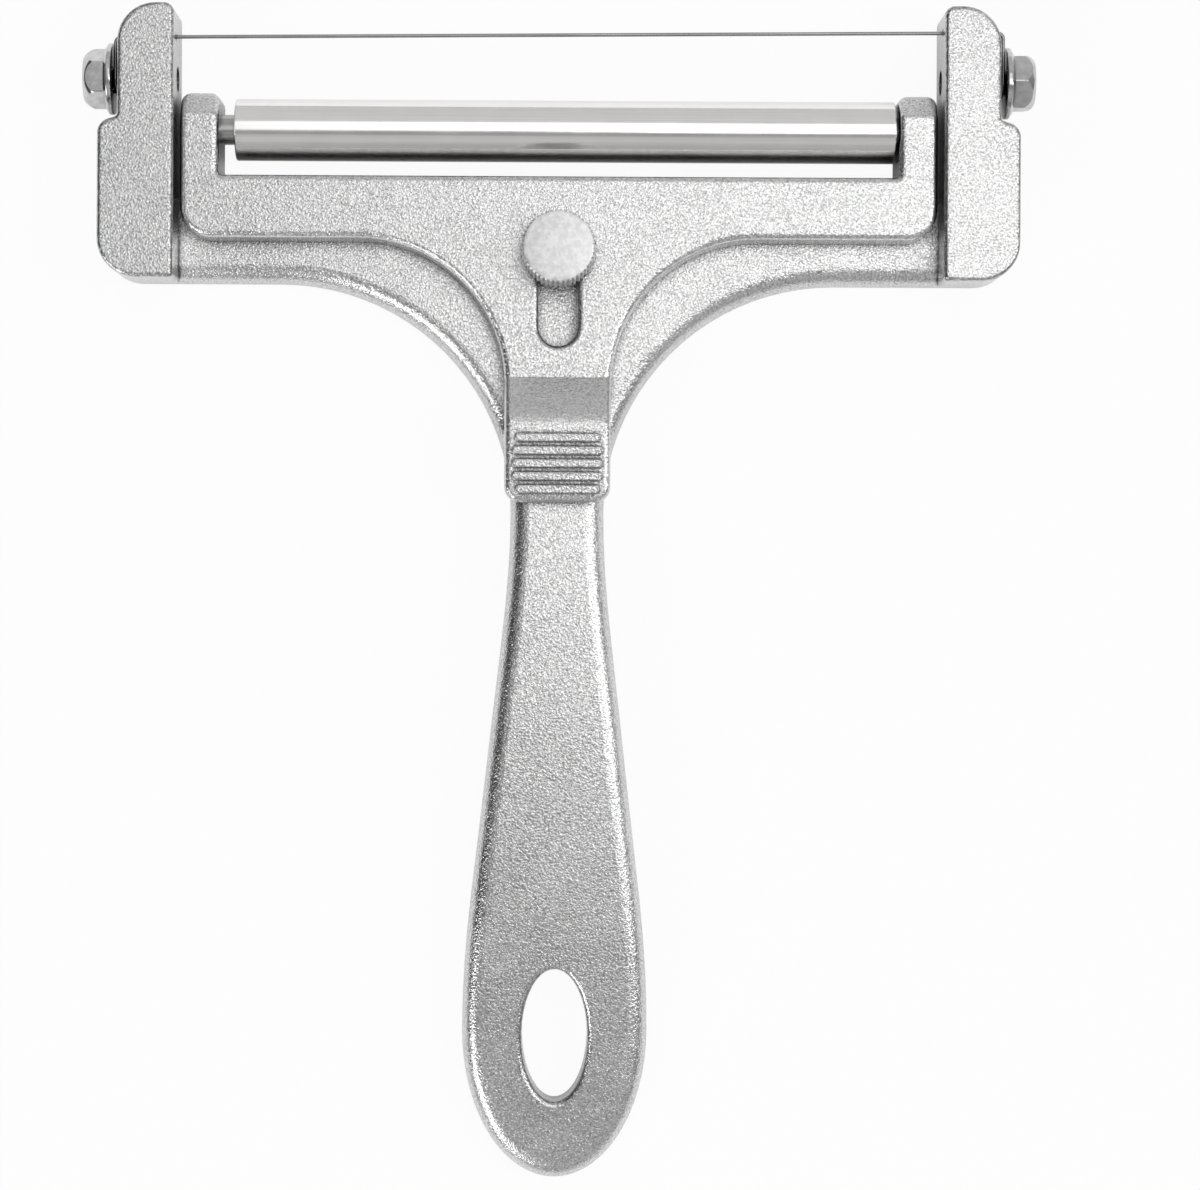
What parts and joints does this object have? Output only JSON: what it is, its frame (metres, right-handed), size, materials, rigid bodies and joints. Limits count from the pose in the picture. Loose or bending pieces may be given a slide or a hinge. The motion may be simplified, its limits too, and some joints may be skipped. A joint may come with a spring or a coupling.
{
  "type": "adjustable wire cheese slicer",
  "caption": "Hand-held wire cheese slicer with a T-shaped cast frame, a roller bracket that slides to set the slice thickness, a thumb screw and a taut cutting wire.",
  "frame": {"origin": "on the back plane of the slicer, in the middle of its overall width and length", "axes": "+X across the slicer to the right end of the wire seen from the front, +Y from the handle to the cutting wire, +Z out of the front face"},
  "size_m": [0.127, 0.1568, 0.0168],
  "materials": {
    "cast_frame": "fine metallic silver surface on a casting",
    "cast_carriage": "fine metallic silver surface on a casting",
    "polished_roller": "polished tube",
    "bush_plastic": "plain moulded",
    "steel_rod": "drawn rod",
    "steel_wire": "bright drawn wire",
    "plated_bolt": "zinc plated",
    "knob_metal": "satin face with knurled edge"
  },
  "bodies": {
    "frame": {"frame_casting": "cast_frame", "cutting_wire": "steel_wire", "wire_bolt_left": "plated_bolt", "wire_bolt_right": "plated_bolt"},
    "carriage": {"carriage_casting": "cast_carriage", "roller_axle": "steel_rod"},
    "roller": {"roller_tube": "polished_roller", "roller_bush_left": "bush_plastic", "roller_bush_right": "bush_plastic"},
    "washer": {"thumb_washer": "plated_bolt"},
    "thumb_screw": {"thumb_knob": "knob_metal", "thumb_stud": "plated_bolt"}
  },
  "joints": [
    {"name": "carriage_slide", "type": "slide", "parent": "frame", "child": "carriage", "axis": [0, 1, 0], "range_m": [0, 0.0068]},
    {"name": "roller_spin", "type": "hinge", "parent": "carriage", "child": "roller", "pos_m": [0, 0.06227, 0.0046], "axis": [1, 0, 0], "continuous": true},
    {"name": "thumb_lift", "type": "slide", "parent": "frame", "child": "washer", "axis": [0, 0, 1], "range_m": [0, 0.0014]},
    {"name": "thumb_turn", "type": "hinge", "parent": "washer", "child": "thumb_screw", "pos_m": [0, 0.04569, 0.0092], "axis": [0, 0, 1], "range_deg": [0, 720]}
  ],
  "couplings": [
    {"joint": "thumb_turn", "follows": "thumb_lift", "rad_per_m": 8975}
  ]
}
